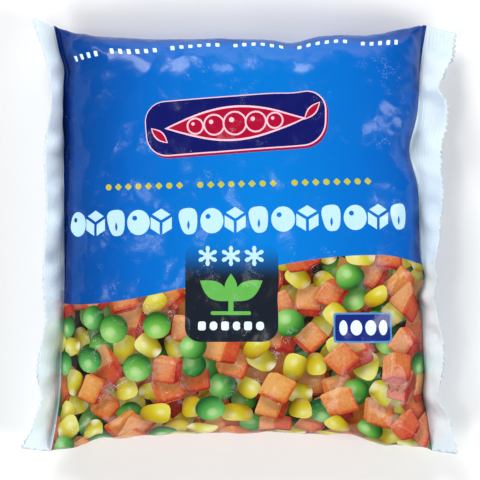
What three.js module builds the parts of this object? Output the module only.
// A shut pillow bag of frozen vegetables, lying on its back with the printed front up.
// One film tube is closed by a crimped seal at its left and its right end. The filling pushes
// the tube out to a pillow, so its middle draws in and the flat ends flare to four ears.
// X runs along the tube from seal to seal, Y up the printed front, Z up. Millimetres.
import * as THREE from "three";
import { mergeVertices } from "three/addons/utils/BufferGeometryUtils.js";

// Driving sizes.
const TUBE_FLAT = 214; // the flat tube's width, and so the length of an end seal
const SEAL_TO_SEAL = 186; // film between the end seals, along the film
const SEAL_WIDTH = 17;
const THICKNESS = 38; // table to the top of the filled pillow
const FOLD_LEVEL = 16; // height of the tube's two long fold lines at mid length
const SEAL_LEVEL = 14; // height at which the front and the back meet in an end seal
const CORNER_DROP = 7; // how far that line droops towards the four ears
const SEAL_FILM = 0.8; // the two films of a seal, crimped together
const DOME = 0.2; // how much lower the front is beside its folds than at its middle
const BASE_SHARE = 0.55; // share of the half length that lies flat on the table
const BACK_FLAP = { width: 12, step: 0.4 }; // the tube's own lap seal along the back
const SEAL_SHRINK = 0.027; // share of an end seal's length that its waves take up

// Film leaves the middle level and drops steeply beside the seals.
const EXCESS = 0.107; // film along the middle over the straight distance between the seals
const EXCESS_POWER = 6;
const CROWN_POWER = 4;
const CROWN_EASE = 0.66;

// The two ends. reach is the seal line's distance from the middle at the top and bottom ear,
// and bow how far the line draws in between them. stand lists how steeply the strip stands up,
// in degrees, at heights along the seal from the bottom ear to the top one.
const LEFT_END = {
  side: -1,
  reach: { top: 90.2, bottom: 93.7 },
  bow: 6.6,
  dents: [
    { at: 84, by: -1.6, over: 7 },
    { at: -58, by: 0.8, over: 12 },
  ],
  stand: [
    [-107, 34], [-94, 53], [-80, 62], [-67, 48], [-42, 60], [-16, 51],
    [18, 57], [43, 50], [68, 67], [88, 58], [107, 48],
  ],
  levelWave: { by: 1.7, length: 52, from: 5 },
  flare: { top: 3.7, bottom: -2.2 },
};
const RIGHT_END = {
  side: 1,
  reach: { top: 90.2, bottom: 94.1 },
  bow: 3.6,
  dents: [
    { at: 44, by: -4.4, over: 13 },
    { at: -19, by: 1.9, over: 6 },
    { at: -29, by: -1.6, over: 5 },
    { at: -78, by: -1.4, over: 6 },
  ],
  stand: [
    [-107, 42], [-92, 48], [-80, 66], [-57, 55], [-36, 64], [-15, 73], [2, 57],
    [28, 46], [48, 14], [66, 34], [76, 59], [84, 44], [96, 6], [107, 16],
  ],
  levelWave: { by: 1.9, length: 43, from: 18 },
  flare: { top: -4.6, bottom: 1.2 },
};

// Where the long folds stand out past the plain pillow, or are drawn in.
const TOP_FOLD = [
  { at: -10, by: 1.3, over: 45 },
  { at: -63, by: 1.3, over: 7 },
  { at: 26, by: -1.9, over: 7 },
  { at: 48, by: 2.6, over: 14 },
  { at: 78, by: 2.4, over: 12 },
];
const BOTTOM_FOLD = [
  { at: 8, by: -1.6, over: 55 },
  { at: -84, by: 2.6, over: 9 },
  { at: -58, by: 1.4, over: 6 },
  { at: 50, by: -0.6, over: 6 },
  { at: 72, by: 2.8, over: 14 },
];

// Soft relief of the packed pieces under the film: ripples crossing at the golden angle.
const LUMPS = { ripples: 6, height: 0.22, longest: 27, shortest: 17, turn: 2.39996 };
const SETTLED = 1.9; // the filling has settled, so the lumps stand out this much more at the bottom
const FOLD_LUMPS = 0.5; // share of the lumps that shows in the outline of the long folds
const PLEATS = { depth: 1.7, length: 31, from: 8 }; // short folds running in from each seal

// Mesh fineness.
const BODY_STEPS = 36;
const SEAL_STEPS = 3;
const SIDE_STEPS = 21;
const FLAP_STEPS = 3;
const FLAP_EDGE = 1.2; // run of the step at each edge of the lap seal

const HALF_TUBE = TUBE_FLAT / 2;
const HALF_LENGTH = SEAL_TO_SEAL / 2;

const lerp = THREE.MathUtils.lerp;
const clamp01 = (t) => THREE.MathUtils.clamp(t, 0, 1);
const ease = (t) => THREE.MathUtils.smoothstep(t, 0, 1);

function shiftAt(places, x) {
  return places.reduce((sum, p) => sum + p.by * Math.exp(-(((x - p.at) / p.over) ** 2)), 0);
}

function waveAt(wave, v) {
  return wave.by * Math.sin((2 * Math.PI * (v - wave.from)) / wave.length);
}

function lumpAt(u, v) {
  let sum = 0;
  for (let i = 0; i < LUMPS.ripples; i++) {
    const length = lerp(LUMPS.longest, LUMPS.shortest, i / (LUMPS.ripples - 1));
    const along = u * Math.cos(i * LUMPS.turn) + v * Math.sin(i * LUMPS.turn);
    sum += Math.sin((2 * Math.PI * along) / length + i * i);
  }
  const settled = lerp(1, SETTLED, clamp01((HALF_TUBE - v) / TUBE_FLAT) ** 2);
  return sum * LUMPS.height * settled;
}

// The seal line of an end, at v along the seal.
function sealReach(end, v) {
  const share = v / HALF_TUBE;
  const ears = lerp(end.reach.bottom, end.reach.top, (share + 1) / 2);
  return ears - end.bow * (1 - share ** 4) + shiftAt(end.dents, v);
}

function sealLevel(end, v) {
  const share = Math.abs(v / HALF_TUBE);
  return SEAL_LEVEL - CORNER_DROP * share ** 3 + waveAt(end.levelWave, v);
}

// How steeply an end's strip stands up at v, in radians, eased from one place to the next.
function sealTilt(end, v) {
  const next = Math.max(1, end.stand.findIndex(([at]) => at >= v));
  const [from, low] = end.stand[next - 1];
  const [to, high] = end.stand[next];
  return THREE.MathUtils.degToRad(lerp(low, high, ease((v - from) / (to - from))));
}

// A point of the pillow. along is 0 at mid length and 1 at the seal line, v runs across the
// tube, and front is true on the printed face.
function pillowPoint(end, along, v, front) {
  const level = sealLevel(end, v);
  const run = along * (1 + EXCESS - EXCESS * along ** EXCESS_POWER);
  const crown = Math.max(0, 1 - run ** CROWN_POWER) ** CROWN_EASE;
  const middle = lerp(FOLD_LEVEL, level, along ** 4);
  const rise = clamp01((along - BASE_SHARE) / (1 - BASE_SHARE)) ** 2;
  const up = (THICKNESS - FOLD_LEVEL) * crown;
  const down = middle - level * rise;

  // Across the tube the film is flat, then turns over a quarter circle to the fold.
  const radius = (up + down) / 2;
  const flat = HALF_TUBE - (Math.PI / 2) * radius;
  const past = Math.max(0, Math.abs(v) - flat);
  const turned = radius > 1e-6 ? Math.min(past / radius, Math.PI / 2) : Math.PI / 2;
  const facing = past > 0 ? Math.cos(turned) : 1;
  const side = Math.sign(v);
  const width = flat + radius;
  const plain = Math.min(Math.abs(v), flat) + (past > 0 ? radius * Math.sin(turned) : 0);
  const outward = plain / width;

  const x = end.side * sealReach(end, v) * run;
  const fold = side > 0 ? TOP_FOLD : BOTTOM_FOLD;
  let y = plain * (1 - SEAL_SHRINK * along ** 6) + shiftAt(fold, x) * outward ** 4;
  y *= side;

  const lump = lumpAt(end.side * along * HALF_LENGTH, v) * (1 - along ** 8);
  if (past > 0) y += side * FOLD_LUMPS * lump * Math.sin(turned);
  if (front) {
    const nearSeal = ease(clamp01((along - 0.7) / 0.2)) * (1 - along ** 20);
    const pleat = (0.5 + 0.5 * Math.cos((2 * Math.PI * (v - PLEATS.from)) / PLEATS.length)) ** 4;
    const top = up * facing * (1 - DOME * outward ** 2);
    return new THREE.Vector3(x, y, middle + top + (lump - PLEATS.depth * pleat * nearSeal) * facing);
  }
  const loose = Math.max(rise, past > 0 ? Math.sin(turned) ** 2 : 0);
  const flap = Math.abs(v) <= BACK_FLAP.width / 2 ? 1 - along ** 12 : 0;
  const under = middle - down * facing - Math.min(lump, level) * facing * loose;
  return new THREE.Vector3(x, y, under + BACK_FLAP.step * (1 - flap));
}

// A point of the film at u along the tube and v across it, on the outer face of the front
// or the back film.
function filmPoint(u, v, front) {
  const end = u < 0 ? LEFT_END : RIGHT_END;
  const beyond = Math.abs(u) - HALF_LENGTH;
  const outer = front ? SEAL_FILM / 2 : -SEAL_FILM / 2;
  if (beyond <= 0) {
    const p = pillowPoint(end, Math.abs(u) / HALF_LENGTH, v, front);
    p.z += outer;
    return p;
  }
  const p = pillowPoint(end, 1, v, front);
  const tilt = sealTilt(end, v);
  const share = v / HALF_TUBE;
  const flare = share > 0 ? end.flare.top : end.flare.bottom;
  p.x += end.side * (beyond * Math.cos(tilt) - outer * Math.sin(tilt));
  p.y += Math.sign(v) * flare * (beyond / SEAL_WIDTH) * Math.abs(share) ** 5;
  p.z += beyond * Math.sin(tilt) + outer * Math.cos(tilt);
  return p;
}

// Where the mesh has its rows: closer together beside the seals, where the film bends most.
function rowsAlong() {
  const rows = [];
  for (let i = 0; i <= BODY_STEPS; i++) {
    const t = (2 * i) / BODY_STEPS - 1;
    rows.push(HALF_LENGTH * t * (1.25 - 0.25 * t * t));
  }
  for (let i = 1; i <= SEAL_STEPS; i++) {
    const beyond = (SEAL_WIDTH * i) / SEAL_STEPS;
    rows.push(HALF_LENGTH + beyond);
    rows.unshift(-HALF_LENGTH - beyond);
  }
  return rows;
}

// And its columns: even across the tube, with one at each edge of the lap seal's step.
function columnsAcross() {
  const half = BACK_FLAP.width / 2;
  const columns = [];
  for (let i = 0; i <= FLAP_STEPS; i++) columns.push(lerp(-half, half, i / FLAP_STEPS));
  for (let i = 0; i <= SIDE_STEPS; i++) {
    const v = lerp(half + FLAP_EDGE, HALF_TUBE, i / SIDE_STEPS);
    columns.push(v);
    columns.unshift(-v);
  }
  return columns;
}

// A thin box with that many segments is bent into the bag: its top becomes the front film,
// its bottom the back film, and its sides the folds and the cut edges of the seals.
function bagGeometry() {
  const rows = rowsAlong();
  const columns = columnsAcross();
  const along = rows.length - 1;
  const across = columns.length - 1;
  const box = new THREE.BoxGeometry(along, across, 1, along, across, 1);
  box.deleteAttribute("normal");
  box.deleteAttribute("uv");
  const bag = mergeVertices(box);
  const position = bag.getAttribute("position");
  for (let i = 0; i < position.count; i++) {
    const u = rows[Math.round(position.getX(i) + along / 2)];
    const v = columns[Math.round(position.getY(i) + across / 2)];
    const p = filmPoint(u, v, position.getZ(i) > 0);
    position.setXYZ(i, p.x, p.y, p.z);
  }
  // The origin is on the table, under the middle of the bag's box.
  bag.computeBoundingBox();
  const centre = bag.boundingBox.getCenter(new THREE.Vector3());
  bag.translate(-centre.x, -centre.y, -bag.boundingBox.min.z);
  bag.computeVertexNormals();
  return bag;
}

const bag = new THREE.Mesh(
  bagGeometry(),
  new THREE.MeshStandardMaterial({ color: 0x0f74cf, roughness: 0.32, metalness: 0 }),
);
bag.name = "bag";

const group = new THREE.Group();
group.add(bag);
export default group;
